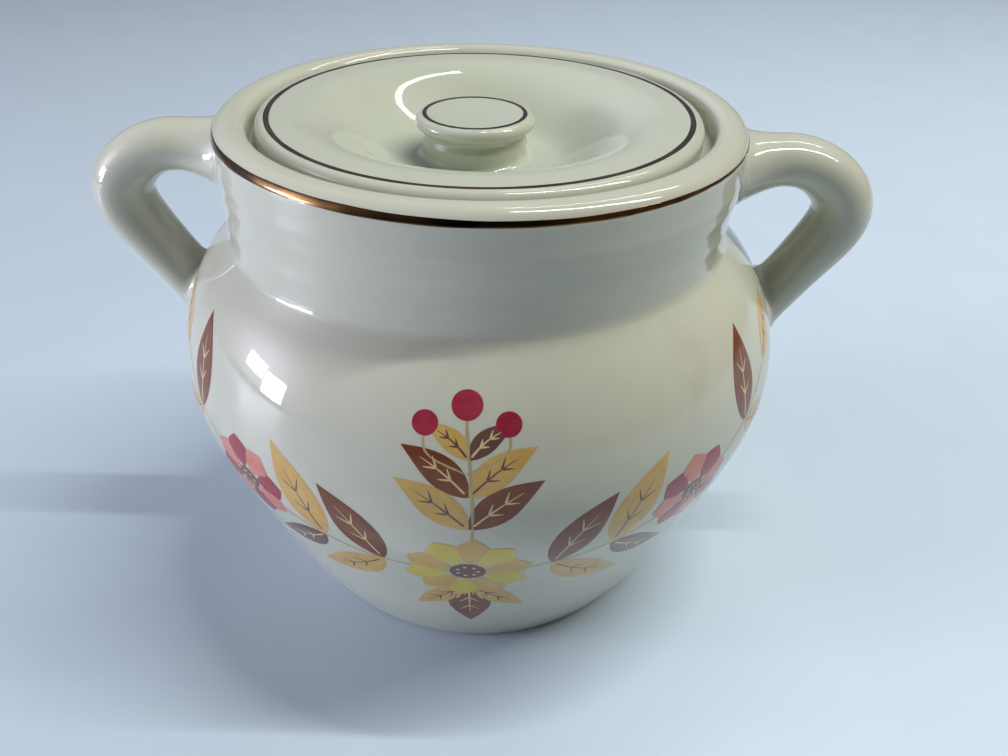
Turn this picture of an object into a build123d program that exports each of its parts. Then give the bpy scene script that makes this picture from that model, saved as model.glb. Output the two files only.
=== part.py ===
from build123d import *
import os
from math import asin, cos, degrees, radians, sin

# A glazed stoneware bean pot: a round-bellied pot with two loop handles, and a
# sunken lid that lifts off by its knob. Millimetres, +Z up. The origin is the
# centre of the foot, on the surface that the pot stands on, and the handles lie
# along X. A radius is from the pot's axis unless its name says otherwise, and a
# profile point is (radius, height). What lies above the flank is measured down
# from the rim, so that it rides with the rim when the pot's height changes.

# Pot: the outer form
pot_height = 181.0
foot_radius = 72.0
foot_edge_round = 3.0
base_flare_angle = 61.0
flank_radius = 99.2
flank_height = 60.0
flank_angle = 72.0
belly_radius = 108.5
belly_below_rim = 82.0
shoulder_radius = 94.5
shoulder_below_rim = 46.0
shoulder_angle = 122.0
neck_radius = 85.5
neck_below_rim = 27.0
collar_radius = 86.9
collar_below_rim = 12.0
rim_outer_round = 5.0
rim_inner_round = 4.0

# Pot: wall, foot and the ledge that the lid sits on
wall = 6.5
floor_thickness = 7.5
floor_round = 16.0
foot_recess = 2.5
foot_ring_width = 9.0
foot_ring_round = 1.0
mouth_clearance = 2.7
seat_width = 4.5
seat_lip = 4.5
seat_round = 1.2
under_seat_above_neck = 4.0

# Lid: it lies loose in its seat, a little off the pot's axis towards -X
lid_radius = 73.4
lid_off_axis = 0.5
lid_below_rim = 0.8
lid_seat_gap = 0.3
brim_thickness = 6.9
brim_edge_round = 3.0
brim_lower_round = 1.5
brim_inner_radius = 62.0
dish_depth = 16.0
dish_floor_radius = 25.0
dish_lower_radius = 34.0
dish_lower_rise = 3.1
dish_upper_radius = 46.0
dish_upper_drop = 5.1
dish_slope_angle = 29.5
dish_thickness = 5.5
dish_under_radius = 27.0
locating_ring_clearance = 2.4
locating_ring_width = 5.0
locating_ring_depth = 4.5
locating_ring_round = 1.5
boss_height = 3.5
boss_round = 2.5

# Knob: a flat button on a short stem, luted to the boss in the lid's dish, a
# little off the lid's axis towards -X
knob_off_lid = 2.1
knob_below_rim = 2.7
button_radius = 20.0
button_height = 4.8
waist_radius = 16.6
waist_below_button = 1.0
stem_radius = 17.6
stem_swell_below_button = 4.4

# Gilt lines, fired on over the glaze
gilt_thickness = 0.15
gilt_gap = 0.05
rim_gilt_top_drop = 2.6
rim_gilt_bottom_drop = 4.2
rim_gilt_flats = 3
lid_gilt_radius = 69.3
lid_gilt_width = 1.7
knob_gilt_radius = 16.8
knob_gilt_width = 1.5

# Handles: the line through the middle of the section, and the section's size
handle_root_below_rim = 17.8
handle_root_angle = -3.0
handle_top_beyond_collar = 24.6
handle_top_below_rim = 17.0
handle_bend_beyond_belly = 18.6
handle_bend_below_rim = 32.3
handle_return_beyond_belly = 12.2
handle_return_below_rim = 49.1
handle_foot_inside_belly = 13.3
handle_foot_below_rim = 84.9
handle_foot_angle = 229.0
handle_buried = 4.0
grip_thickness = 17.3
grip_width = 22.3
root_swell = 8.5
root_spread = 11.0
root_flare = 17.0
foot_swell = 6.0
foot_spread = 8.0
foot_flare = 20.0
knuckle_swell = 2.8
knuckle_spread = 1.5
knuckle_reach = 30.0
knuckle_share = 0.47
handle_sections = 15

# What follows from those sizes
neck_height = pot_height - neck_below_rim
collar_height = pot_height - collar_below_rim
rim_round_centre = (collar_radius - rim_outer_round, pot_height - rim_outer_round)
mouth_radius = lid_radius + mouth_clearance
brim_height = pot_height - lid_below_rim
brim_under_height = brim_height - brim_thickness
seat_height = brim_under_height - lid_seat_gap
seat_inner_radius = lid_radius - seat_width
dish_floor_height = brim_height - dish_depth
boss_top_height = dish_floor_height + boss_height
knob_top_height = pot_height - knob_below_rim
button_round = button_height / 2
button_under_height = knob_top_height - button_height
lid_place = Pos(-lid_off_axis, 0, 0)
knob_place = Pos(-lid_off_axis - knob_off_lid, 0, 0)


def towards(angle):
    """Unit step in the profile plane, angle in degrees from straight outwards."""
    return (cos(radians(angle)), sin(radians(angle)))


# Both ends of a curve that runs into level ground
level = (towards(0), towards(0))


def inside(point, angle, depth):
    """The point that lies depth inside the wall, whose outline runs at angle."""
    return (point[0] - depth * sin(radians(angle)), point[1] + depth * cos(radians(angle)))


def turned(*outline):
    """The solid that a closed outline of edges makes when it turns about the axis."""
    return revolve(Plane.XZ * make_face(outline), Axis.Z)


def wall_line(start, inset):
    """The wall's curve from its start at the base up to the neck, inset from outside."""
    flank = inside((flank_radius, flank_height), flank_angle, inset)
    belly = (belly_radius - inset, pot_height - belly_below_rim)
    shoulder_point = (shoulder_radius, pot_height - shoulder_below_rim)
    shoulder = inside(shoulder_point, shoulder_angle, inset)
    neck = (neck_radius - inset, neck_height)
    ends = (towards(base_flare_angle), towards(90))
    return Spline(start, flank, belly, shoulder, neck, tangents=ends)


def outer_line():
    """The pot's outline from the edge of the foot to the crown of the rim."""
    edge = CenterArc((foot_radius, foot_edge_round), foot_edge_round, -90, base_flare_angle)
    side = wall_line(edge @ 1, 0)
    collar = Spline(side @ 1, (collar_radius, collar_height), tangents=(towards(90), towards(90)))
    lip = Line(collar @ 1, (collar_radius, rim_round_centre[1]))
    crown = CenterArc(rim_round_centre, rim_outer_round, 0, 90)
    return [edge, side, collar, lip, crown]


def cavity_line(rim_end):
    """The outline from the crown of the rim, over the lid's ledge, down to the cavity's floor."""
    inner_round_centre = (mouth_radius + rim_inner_round, pot_height - rim_inner_round)
    inner_crown = CenterArc(inner_round_centre, rim_inner_round, 90, 90)
    crown_top = Line(rim_end, inner_crown @ 0)
    # The floor runs up into the wall by an arc that touches both.
    flare = towards(base_flare_angle)
    foot_side = (foot_radius + foot_edge_round * flare[1], foot_edge_round * (1 - flare[0]))
    inner_side = inside(foot_side, base_flare_angle, wall)
    floor_height = foot_recess + floor_thickness
    rise = floor_height + floor_round - inner_side[1]
    corner_radius = inner_side[0] + (rise * flare[0] - floor_round) / flare[1]
    corner = CenterArc((corner_radius, floor_height + floor_round), floor_round, -90, base_flare_angle)
    side = wall_line(corner @ 1, wall)
    ledge = Polyline(
        inner_crown @ 1,
        (mouth_radius, seat_height),
        (seat_inner_radius, seat_height),
        (seat_inner_radius, seat_height - seat_lip),
        (neck_radius - wall, neck_height + under_seat_above_neck),
        side @ 1,
    )
    floor = Line(corner @ 0, (0, floor_height))
    return [crown_top, inner_crown, ledge, side, corner, floor]


def foot_line(floor_end):
    """The outline under the pot: the axis, the recessed base and the foot ring."""
    ring_inner = foot_radius - foot_ring_width
    base = ((0, foot_recess), (ring_inner, foot_recess), (ring_inner, 0), (foot_radius, 0))
    return Polyline(floor_end, *base)


def rounded(face, radius, *corners):
    """The profile with each of these corners rounded."""
    chosen = [face.vertices().sort_by_distance(corner)[0] for corner in corners]
    return fillet(chosen, radius)


def make_pot_body():
    outer = outer_line()
    cavity = cavity_line(outer[-1] @ 1)
    profile = make_face([*outer, *cavity, foot_line(cavity[-1] @ 1)])
    seat_edge = (seat_inner_radius, seat_height)
    profile = rounded(profile, seat_round, seat_edge, (seat_inner_radius, seat_height - seat_lip))
    profile = rounded(profile, foot_ring_round, (foot_radius - foot_ring_width, 0))
    return revolve(Plane.XZ * profile, Axis.Z)


def make_pot_core():
    """The pot filled solid, which gives the handles the face that they meet."""
    outer = outer_line()
    to_axis = Polyline(outer[-1] @ 1, (0, pot_height), (0, 0), (foot_radius, 0))
    return turned(*outer, to_axis)


def swell(distance, flare):
    """How much of a root's extra size is left at this distance from the wall, 1 down to 0."""
    return max(1 - max(distance, 0) / flare, 0) ** 2


def bulge(distance, reach):
    """How much of the knuckle's extra size is left at this distance from its middle, 1 down to 0."""
    return cos(radians(90 * min(abs(distance) / reach, 1))) ** 2


def make_handle(core, side):
    """A loop handle on the side where x has the given sign, lofted and cut to the pot's wall."""
    middle = Spline(
        (collar_radius - handle_buried, pot_height - handle_root_below_rim),
        (collar_radius + handle_top_beyond_collar, pot_height - handle_top_below_rim),
        (belly_radius + handle_bend_beyond_belly, pot_height - handle_bend_below_rim),
        (belly_radius + handle_return_beyond_belly, pot_height - handle_return_below_rim),
        (belly_radius - handle_foot_inside_belly, pot_height - handle_foot_below_rim),
        tangents=(towards(handle_root_angle), towards(handle_foot_angle)),
    )
    sections = []
    for step in range(handle_sections):
        along = step / (handle_sections - 1)
        at_root = swell(middle.length * along - handle_buried, root_flare)
        at_foot = swell(middle.length * (1 - along) - handle_buried, foot_flare)
        at_knuckle = bulge(middle.length * (along - knuckle_share), knuckle_reach)
        swells = root_swell * at_root + knuckle_swell * at_knuckle + foot_swell * at_foot
        spreads = root_spread * at_root + knuckle_spread * at_knuckle + foot_spread * at_foot
        place = middle @ along
        aim = middle % along
        centre = (side * place.X, 0, place.Y)
        across = Plane(origin=centre, x_dir=(0, 1, 0), z_dir=(side * aim.X, 0, aim.Y))
        sections.append(across * Ellipse((grip_width + spreads) / 2, (grip_thickness + swells) / 2))
    return loft(sections) - core


def lid_top_line(lower, upper):
    """The lid's outline from the middle of the dish, through lower and upper, round to the brim's edge."""
    floor = Line((0, dish_floor_height), (dish_floor_radius, dish_floor_height))
    dish = Spline(floor @ 1, lower, upper, (brim_inner_radius, brim_height), tangents=level)
    edge_centre = (lid_radius - brim_edge_round, brim_height - brim_edge_round)
    brim = Line(dish @ 1, (edge_centre[0], brim_height))
    edge = CenterArc(edge_centre, brim_edge_round, 90, -90)
    return [floor, dish, brim, edge]


def make_lid_plate():
    """The lid without its boss: a flat brim round a sunken dish, and a locating ring beneath."""
    lower = (dish_lower_radius, dish_floor_height + dish_lower_rise)
    upper = (dish_upper_radius, brim_height - dish_upper_drop)
    top = lid_top_line(lower, upper)
    ring_outer = seat_inner_radius - locating_ring_clearance
    ring_inner = ring_outer - locating_ring_width
    ring_bottom = brim_under_height - locating_ring_depth
    ring = Polyline(
        top[-1] @ 1,
        (lid_radius, brim_under_height),
        (ring_outer, brim_under_height),
        (ring_outer, ring_bottom),
        (ring_inner, ring_bottom),
        (ring_inner, brim_under_height),
    )
    lower_under = inside(lower, dish_slope_angle, -dish_thickness)
    upper_under = inside(upper, dish_slope_angle, -dish_thickness)
    under_edge = (dish_under_radius, dish_floor_height - dish_thickness)
    dish_under = Spline(under_edge, lower_under, upper_under, ring @ 1, tangents=level)
    under_floor = Polyline(under_edge, (0, under_edge[1]), (0, dish_floor_height))
    profile = make_face([*top, ring, dish_under, under_floor])
    profile = rounded(profile, brim_lower_round, (lid_radius, brim_under_height))
    ring_edges = ((ring_outer, ring_bottom), (ring_inner, ring_bottom))
    profile = rounded(profile, locating_ring_round, *ring_edges)
    return lid_place * revolve(Plane.XZ * profile, Axis.Z)


def make_lid():
    """The lid: its plate, with the boss that carries the knob standing in the dish."""
    plate = make_lid_plate()
    bottom_up = (Align.CENTER, Align.CENTER, Align.MIN)
    post = Cylinder(stem_radius, dish_thickness / 2 + boss_height, align=bottom_up)
    boss = knob_place * Pos(0, 0, dish_floor_height - dish_thickness / 2) * post
    lid = plate + boss
    return fillet(new_edges(plate, boss, combined=lid), boss_round)


def make_knob():
    """The knob: a round-edged button over a waisted stem, standing on the lid's boss."""
    stem = Polyline(
        (0, boss_top_height),
        (stem_radius, boss_top_height),
        (stem_radius, button_under_height - stem_swell_below_button),
    )
    edge_centre = (button_radius - button_round, knob_top_height - button_round)
    waist = Spline(
        stem @ 1,
        (waist_radius, button_under_height - waist_below_button),
        (edge_centre[0], button_under_height),
        tangents=(towards(90), towards(0)),
    )
    edge = CenterArc(edge_centre, button_round, -90, 180)
    top = Polyline(edge @ 1, (0, knob_top_height), (0, boss_top_height))
    return knob_place * turned(stem, waist, edge, top)


def on_rim_round(aim, radius):
    """The profile point this far from the centre of the rim's outer rounding."""
    return (rim_round_centre[0] + aim[0] * radius, rim_round_centre[1] + aim[1] * radius)


def make_rim_gilt():
    """The gilt band: narrow flats that touch the rim's rounding and follow it."""
    low = degrees(asin((rim_outer_round - rim_gilt_bottom_drop) / rim_outer_round))
    high = degrees(asin((rim_outer_round - rim_gilt_top_drop) / rim_outer_round))
    turn = (high - low) / rim_gilt_flats
    near = (rim_outer_round + gilt_gap) / cos(radians(turn / 2))
    far = near + gilt_thickness
    aims = [towards(low + turn * flat) for flat in range(rim_gilt_flats + 1)]
    glaze_side = [on_rim_round(aim, near) for aim in aims]
    face_side = [on_rim_round(aim, far) for aim in reversed(aims)]
    return turned(Polyline(*glaze_side, *face_side, glaze_side[0]))


def make_gilt_ring(place, radius, width, height):
    """A flat gilt line of this mean radius about place, on a level face at this height."""
    bottom = height + gilt_gap
    top = bottom + gilt_thickness
    near = radius - width / 2
    far = radius + width / 2
    outline = Polyline((near, bottom), (far, bottom), (far, top), (near, top), (near, bottom))
    return place * turned(outline)


core = make_pot_core()
parts = {
    "pot_body": make_pot_body(),
    "handle_left": make_handle(core, -1),
    "handle_right": make_handle(core, 1),
    "rim_gilt_band": make_rim_gilt(),
    "lid": make_lid(),
    "lid_knob": make_knob(),
    "lid_gilt_line": make_gilt_ring(lid_place, lid_gilt_radius, lid_gilt_width, brim_height),
    "knob_gilt_line": make_gilt_ring(knob_place, knob_gilt_radius, knob_gilt_width, knob_top_height),
}
os.makedirs("parts", exist_ok=True)
for node, shape in parts.items():
    export_step(shape, f"parts/{node}.step")
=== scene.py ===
"""Stoneware bean pot: glaze, gilding and print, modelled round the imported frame."""

from math import radians

import bpy
import numpy as np
from mathutils import Matrix, Vector


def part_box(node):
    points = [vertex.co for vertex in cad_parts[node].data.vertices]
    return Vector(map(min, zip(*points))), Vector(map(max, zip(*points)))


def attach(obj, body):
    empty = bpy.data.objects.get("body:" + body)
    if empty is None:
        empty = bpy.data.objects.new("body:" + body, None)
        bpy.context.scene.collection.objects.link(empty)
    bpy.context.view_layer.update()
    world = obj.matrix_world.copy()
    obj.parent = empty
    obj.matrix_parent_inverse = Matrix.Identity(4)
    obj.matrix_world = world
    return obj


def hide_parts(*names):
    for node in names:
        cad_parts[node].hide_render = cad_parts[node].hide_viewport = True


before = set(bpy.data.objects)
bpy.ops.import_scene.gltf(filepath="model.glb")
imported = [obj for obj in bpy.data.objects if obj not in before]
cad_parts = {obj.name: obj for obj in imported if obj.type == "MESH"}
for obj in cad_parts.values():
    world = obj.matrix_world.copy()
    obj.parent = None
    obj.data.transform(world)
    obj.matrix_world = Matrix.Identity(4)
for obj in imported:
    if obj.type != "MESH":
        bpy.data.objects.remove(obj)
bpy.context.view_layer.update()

# Every size below is in millimetres, and MM turns it into the scene's metres.
MM = 0.001


def node_box(node):
    """A CAD node's lowest and highest corners."""
    low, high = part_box(node)
    return np.array(low) / MM, np.array(high) / MM


pot_high = node_box("pot_body")[1]
lid_low, lid_high = node_box("lid")
knob_low, knob_high = node_box("lid_knob")
rim_line_low, rim_line_high = node_box("rim_gilt_band")
lid_line_low, lid_line_high = node_box("lid_gilt_line")
knob_line_low, knob_line_high = node_box("knob_gilt_line")

# Pot: outer form, measured down from the rim above the flank
pot_height = pot_high[2]
belly_radius = pot_high[0]
foot_radius = 72.0
foot_edge_round = 3.0
base_flare_angle = 61.0
flank = (belly_radius - 9.3, 60.0)
flank_angle = 72.0
belly = (belly_radius, pot_height - 82.0)
shoulder = (belly_radius - 14.0, pot_height - 46.0)
shoulder_angle = 122.0
neck = (85.5, pot_height - 27.0)
collar = (86.9, pot_height - 12.0)
# The outside keeps a firmer corner at the neck's foot than the plain inside does: the corner, the
# shoulder below it, the ways the shoulder climbs to it and the neck leaves it, how far the shoulder
# runs straight into it, its hollow round, and where the neck starts to swell towards the collar.
# The shoulder's rows stop this little below the hollow round.
neck_foot = (86.1, pot_height - 37.1)
full_shoulder = (shoulder[0] - 0.4, shoulder[1])
neck_foot_angle = 126.0
neck_rise_angle = 91.0
neck_foot_run = 3.0
neck_foot_round = 5.0
neck_swell_start = (neck[0] + 0.5, neck[1] - 3.0)
row_gap = 0.1
rim_outer_round = 5.0
rim_inner_round = 4.0

# Pot: inside, ledge and foot
wall = 6.5
floor_height = 10.0
floor_round = 16.0
mouth_radius = 76.1
seat_radius = 68.9
seat_lip = 4.5
ledge_rounds = (1.0, 1.2, 1.2)
under_ledge = (neck[0] - wall, neck[1] + 4.0)
foot_recess = 2.5
foot_ring_inner = 63.0
foot_ring_round = 1.0

# Waviness of the cast wall: its size, the height over which it sets in above the foot, and how far
# below the rim it has ended and over what height it fades out
waver_size = 0.055
waver_set_in = 15.0
waver_fade = (6.0, 12.0)

# Turning rings left on the neck: heights below the rim, and how proud they stand
neck_ring_drops = np.array([13.3, 18.4, 28.6])
neck_ring_rise = 0.27
neck_ring_width = 2.2

# The neck's lean off the axis: how far, at what height most, and its reach above and below that
neck_lean_by = 1.1
neck_lean_height = pot_height - 34.0
neck_lean_reach = (21.0, 40.0)

# Lid, about its own axis
lid_centre = (lid_low[0] + lid_high[0]) / 2
lid_radius = (lid_high[0] - lid_low[0]) / 2
brim_height = lid_high[2]
brim_under = brim_height - 6.9
seat_height = brim_under - 0.3
brim_inner = 62.0
brim_edge_round = 3.0
dish_floor = brim_height - 16.0
dish_floor_radius = 25.0
dish_lower = (34.0, dish_floor + 3.1)
dish_upper = (46.0, brim_height - 5.1)
dish_slope = 29.5
dish_thickness = 5.5
dish_under_radius = 27.0
brim_under_round = 1.5
ring_outer = 66.5
ring_inner = 61.5
ring_bottom = brim_under - 4.5
ring_round = 1.5
ring_crease_round = 0.8

# Knob and the boss that it stands on, about the knob's own axis
knob_centre = (knob_low[0] + knob_high[0]) / 2
knob_top = knob_high[2]
button_radius = (knob_high[0] - knob_low[0]) / 2
button_height = 4.8
button_hollow = 0.35
waist_radius = 16.6
waist_drop = 1.0
stem_radius = 17.6
stem_drop = 4.4
boss_top = knob_low[2]
boss_round = 2.5
boss_sunk = 1.0

# Gilt lines: widths on the lid and the knob, the film's thickness, and its gap from the glaze
lid_line_width = 1.7
knob_line_width = 1.5
gilt_thickness = 0.09
gilt_lift = 0.015

# Hand banding of the rim's gilt: where the brush was fullest and how far its two edges climb there,
# and where the line is worn, what its lower edge lost and how far its upper edge dropped.
# Middles and spreads are azimuths in degrees, the rest is millimetres round the edge.
rim_full = (-128.0, 32.0)
rim_full_climb = (0.5, 1.1)
rim_worn = (-28.0, 26.0)
rim_worn_loss = 0.5
rim_worn_drop = 0.4

# Handles: the line through the middle of the section, and the section's size
handle_root = (collar[0] - 4.0, pot_height - 17.8)
handle_top = (collar[0] + 24.6, pot_height - 17.0)
handle_bend = (belly_radius + 18.6, pot_height - 32.3)
handle_return = (belly_radius + 12.2, pot_height - 49.1)
handle_foot = (belly_radius - 13.3, pot_height - 84.9)
handle_root_angle = -3.0
handle_foot_angle = 229.0
handle_buried = 4.0
grip_thickness = 17.3
grip_width = 22.3
root_swell, root_spread, root_flare = 8.5, 11.0, 17.0
foot_swell, foot_spread, foot_flare = 6.0, 8.0, 20.0
knuckle_swell, knuckle_spread, knuckle_reach, knuckle_share = 2.8, 1.5, 30.0, 0.47
# Hollow round where a handle meets the wall: tight at the collar and wide below it, how far below
# the rim it starts to tighten and over what height, and how far its ends are tucked into the wall
crease_round = 0.8
throat_round = 4.5
crease_drop = 22.0
crease_reach = 14.0
tuck_along, tuck_in, tuck_pole = 0.9, 0.45, 4.0

# How fine the meshes are: steps round the pot and lid, steps round the knob, and the longest step
# along each outline
pot_segments = 256
knob_segments = 192
pot_row, lid_row, knob_row = 2.5, 1.6, 0.9


# Curves and profiles

def towards(angle):
    """Unit step in a profile plane, angle in degrees from straight outwards."""
    return np.array((np.cos(radians(angle)), np.sin(radians(angle))))


def inside(point, angle, depth):
    """The point that lies depth inside the wall, whose outline runs at angle."""
    step = towards(angle)
    return (point[0] - depth * step[1], point[1] + depth * step[0])


def arc(centre, radius, start, turn, count=9):
    """Points round a centre: centre + radius * (cos, sin) of evenly spaced angles."""
    angles = np.radians(np.linspace(start, start + turn, count))
    return np.column_stack((centre[0] + radius * np.cos(angles), centre[1] + radius * np.sin(angles)))


def length_along(line):
    """The length of a line from its start to each of its points, added up from its straight steps."""
    return np.concatenate(([0.0], np.cumsum(np.linalg.norm(np.diff(line, axis=0), axis=1))))


def sideways(line):
    """The unit step to the left of a plane line at each of its points."""
    slope = np.gradient(line, axis=0)
    slope /= np.linalg.norm(slope, axis=1, keepdims=True)
    return np.column_stack((-slope[:, 1], slope[:, 0]))


def flattened(angle, power):
    """A sine with flat tops, for the section of a thin film: its sign times its size to a power below 1."""
    return np.sign(np.sin(angle)) * np.abs(np.sin(angle)) ** power


def smooth_line(points, start, end, count):
    """A cubic through the points with no break in its bend, leaving along start and arriving along end.

    The slope at each inner point balances the steps on its two sides, which gives one row of a
    linear system for each point. Between two points the curve is the Hermite cubic of their
    places and slopes, with the straight distance between them as its parameter.
    """
    points = np.array(points, float)
    steps = np.diff(points, axis=0)
    gaps = np.linalg.norm(steps, axis=1)
    before, after = gaps[:-1], gaps[1:]
    middle = np.arange(1, len(points) - 1)
    system = np.eye(len(points))
    system[middle, middle - 1] = after
    system[middle, middle] = 2 * (before + after)
    system[middle, middle + 1] = before
    rates = steps / gaps[:, None]
    wanted = np.vstack((start, 3 * (after[:, None] * rates[:-1] + before[:, None] * rates[1:]), end))
    slopes = np.linalg.solve(system, wanted)
    knots = np.concatenate(([0.0], np.cumsum(gaps)))
    at = np.linspace(0, knots[-1], count)
    piece = np.clip(np.searchsorted(knots, at, side="right") - 1, 0, len(gaps) - 1)
    gap = gaps[piece][:, None]
    t = ((at - knots[piece]) / gaps[piece])[:, None]
    from_here = (1 + 2 * t) * (1 - t) ** 2 * points[piece] + t * (1 - t) ** 2 * gap * slopes[piece]
    from_next = t * t * (3 - 2 * t) * points[piece + 1] - t * t * (1 - t) * gap * slopes[piece + 1]
    return from_here + from_next


def corner(before, point, after, radius, count=6):
    """An arc that rounds the corner at point: it touches both sides, and its centre lies between them."""
    point = np.array(point, float)
    to_before = (before - point) / np.linalg.norm(before - point)
    to_after = (after - point) / np.linalg.norm(after - point)
    half = np.arccos(np.clip(to_before @ to_after, -1, 1)) / 2
    centre = point + (to_before + to_after) / (2 * np.cos(half)) * radius / np.sin(half)
    first = point + to_before * radius / np.tan(half) - centre
    last = point + to_after * radius / np.tan(half) - centre
    sweep = np.pi - 2 * half
    share = np.linspace(0, 1, count)[:, None]
    return centre + (np.sin((1 - share) * sweep) * first + np.sin(share * sweep) * last) / np.sin(sweep)


def evenly(profile, spacing):
    """The same outline, with each stretch between two points that is longer than spacing split evenly."""
    lengths = length_along(profile)
    keep = np.concatenate(([True], np.diff(lengths) > 1e-3))
    lengths, profile = lengths[keep], profile[keep]
    gaps = np.diff(lengths)
    parts = np.ceil(gaps / spacing).astype(int)
    before = np.repeat(np.cumsum(parts) - parts, parts)
    share = (np.arange(parts.sum()) - before) / np.repeat(parts, parts)
    at = np.append(np.repeat(lengths[:-1], parts) + share * np.repeat(gaps, parts), lengths[-1])
    return np.column_stack([np.interp(at, lengths, profile[:, axis]) for axis in (0, 1)])


# Meshes

def tube_faces(rows, around):
    """Faces of a closed skin: rows of rings, a fan to the pole before the first and after the last."""
    ring = np.arange(rows * around).reshape(rows, around)
    turned = np.roll(ring, -1, axis=1)
    quads = np.stack((ring[:-1], turned[:-1], turned[1:], ring[1:]), axis=-1).reshape(-1, 4)
    first, last = rows * around, rows * around + 1
    start = np.stack((turned[0], ring[0], np.full(around, first)), axis=-1)
    end = np.stack((ring[-1], turned[-1], np.full(around, last)), axis=-1)
    return quads, np.vstack((start, end))


def loop_faces(rows, around):
    """Faces of a ring-shaped skin, which closes on itself both ways."""
    ring = np.arange(rows * around).reshape(rows, around)
    turned = np.roll(ring, -1, axis=1)
    onward = np.roll(ring, -1, axis=0)
    quads = np.stack((ring, turned, np.roll(turned, -1, axis=0), onward), axis=-1).reshape(-1, 4)
    return quads, np.zeros((0, 3), int)


def outwards(points, quads, fans):
    """The same faces, turned round if they enclose a negative volume, so that all point outwards."""
    halves = np.vstack((quads[:, [0, 1, 2]], quads[:, [0, 2, 3]], fans))
    a, b, c = points[halves[:, 0]], points[halves[:, 1]], points[halves[:, 2]]
    if np.einsum("ij,ij->i", a - points[0], np.cross(b - points[0], c - points[0])).sum() < 0:
        return quads[:, ::-1], fans[:, ::-1]
    return quads, fans


def capped(rings, first_pole, last_pole):
    """A closed skin from rings of points and the two points that close its ends."""
    rows, around = rings.shape[:2]
    points = np.vstack((rings.reshape(-1, 3), first_pole, last_pole))
    return (points, *outwards(points, *tube_faces(rows, around)))


def looped(rings):
    """A closed skin from rings of points that run round in a circle."""
    points = rings.reshape(-1, 3)
    return (points, *outwards(points, *loop_faces(*rings.shape[:2])))


def add_object(name, data):
    """A new object that holds the data, linked into the scene."""
    thing = bpy.data.objects.new(name, data)
    bpy.context.scene.collection.objects.link(thing)
    return thing


def add_piece(name, skins, body, finish, replaced=(), sharp=None):
    """Joins closed skins into one mesh object that rides on a body and takes a finish.

    sharp, if given, is the angle in degrees past which an edge is shaded as a sharp one.
    """
    starts = np.cumsum([0] + [len(points) for points, _, _ in skins])
    points = np.vstack([skin[0] for skin in skins]) * MM
    faces = []
    for start, (_, quads, fans) in zip(starts, skins):
        faces += (quads + start).tolist() + (fans + start).tolist()
    mesh = bpy.data.meshes.new(name)
    mesh.from_pydata(points, [], faces)
    mesh.shade_smooth()
    if sharp is not None:
        mesh.set_sharp_from_angle(angle=radians(sharp))
    mesh.update()
    piece = add_object(name, mesh)
    mesh.materials.append(finish)
    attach(piece, body)
    if replaced:
        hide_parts(*replaced)
    return piece


def turned_skin(profile, segments, centre_x=0.0, push=None):
    """A profile of (radius, height) turned about an upright axis; its two ends lie on that axis.

    push, if given, takes each point's azimuth, height and radius and says how far to move it out.
    """
    azimuth = np.linspace(0, 2 * np.pi, segments, endpoint=False)[None, :]
    radius = profile[1:-1, 0][:, None] + np.zeros_like(azimuth)
    height = profile[1:-1, 1][:, None] + np.zeros_like(azimuth)
    if push is not None:
        radius = radius + push(azimuth, height, radius)
    rings = np.stack((centre_x + radius * np.cos(azimuth), radius * np.sin(azimuth), height), axis=-1)
    poles = [np.array((centre_x, 0.0, profile[end, 1])) for end in (0, -1)]
    return capped(rings, *poles)


# Pot body

def outer_profile():
    """The pot's outline from the edge of the foot to the crown of the rim."""
    edge = arc((foot_radius, foot_edge_round), foot_edge_round, -90, base_flare_angle)
    through = [edge[-1], flank, belly, full_shoulder, neck_foot]
    side = smooth_line(through, towards(base_flare_angle), towards(neck_foot_angle), 125)
    near_foot = neck_foot - neck_foot_run * towards(neck_foot_angle)
    throat = corner(near_foot, neck_foot, neck_foot + towards(neck_rise_angle), neck_foot_round, 10)
    side = side[side[:, 1] < throat[0, 1] - row_gap]
    lift = smooth_line([neck_swell_start, collar], towards(90), towards(90), 20)
    crown_centre = (collar[0] - rim_outer_round, pot_height - rim_outer_round)
    crown = arc(crown_centre, rim_outer_round, 0, 90, 14)
    return np.vstack((edge, side[1:], throat, lift, crown))


def inner_profile():
    """The outline from the crown of the rim, over the lid's ledge, down to the middle of the floor."""
    crown_centre = (mouth_radius + rim_inner_round, pot_height - rim_inner_round)
    crown = arc(crown_centre, rim_inner_round, 90, 90, 12)
    ledge = [
        crown[-1],
        np.array((mouth_radius, seat_height)),
        np.array((seat_radius, seat_height)),
        np.array((seat_radius, seat_height - seat_lip)),
        np.array(under_ledge),
    ]
    steps = [corner(*ledge[i:i + 3], radius) for i, radius in enumerate(ledge_rounds)]
    start = inside((foot_radius, foot_edge_round), base_flare_angle, wall)
    flare = towards(base_flare_angle)
    rise = floor_height + floor_round - start[1]
    centre = (start[0] + (rise * flare[0] - floor_round) / flare[1], floor_height + floor_round)
    bend = arc(centre, floor_round, -90, base_flare_angle, 16)
    through = [
        bend[-1],
        inside(flank, flank_angle, wall),
        (belly[0] - wall, belly[1]),
        inside(shoulder, shoulder_angle, wall),
        (neck[0] - wall, neck[1]),
    ]
    side = smooth_line(through, flare, towards(90), 75)
    return np.vstack((crown, *steps, ledge[-1], side[::-1], bend[::-1], (0.0, floor_height)))


def under_profile():
    """The underside from the axis, over the recess, to the foot ring's outer edge."""
    recess = np.array((0.0, foot_recess))
    top = np.array((foot_ring_inner, foot_recess))
    toe = np.array((foot_ring_inner, 0.0))
    heel = np.array((foot_radius, 0.0))
    hollow = corner(recess, top, toe, foot_ring_round)
    return np.vstack((recess, hollow, corner(top, toe, heel, foot_ring_round), heel))


outer = outer_profile()
wall_height = outer[:, 1]
wall_along = length_along(outer)


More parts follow.
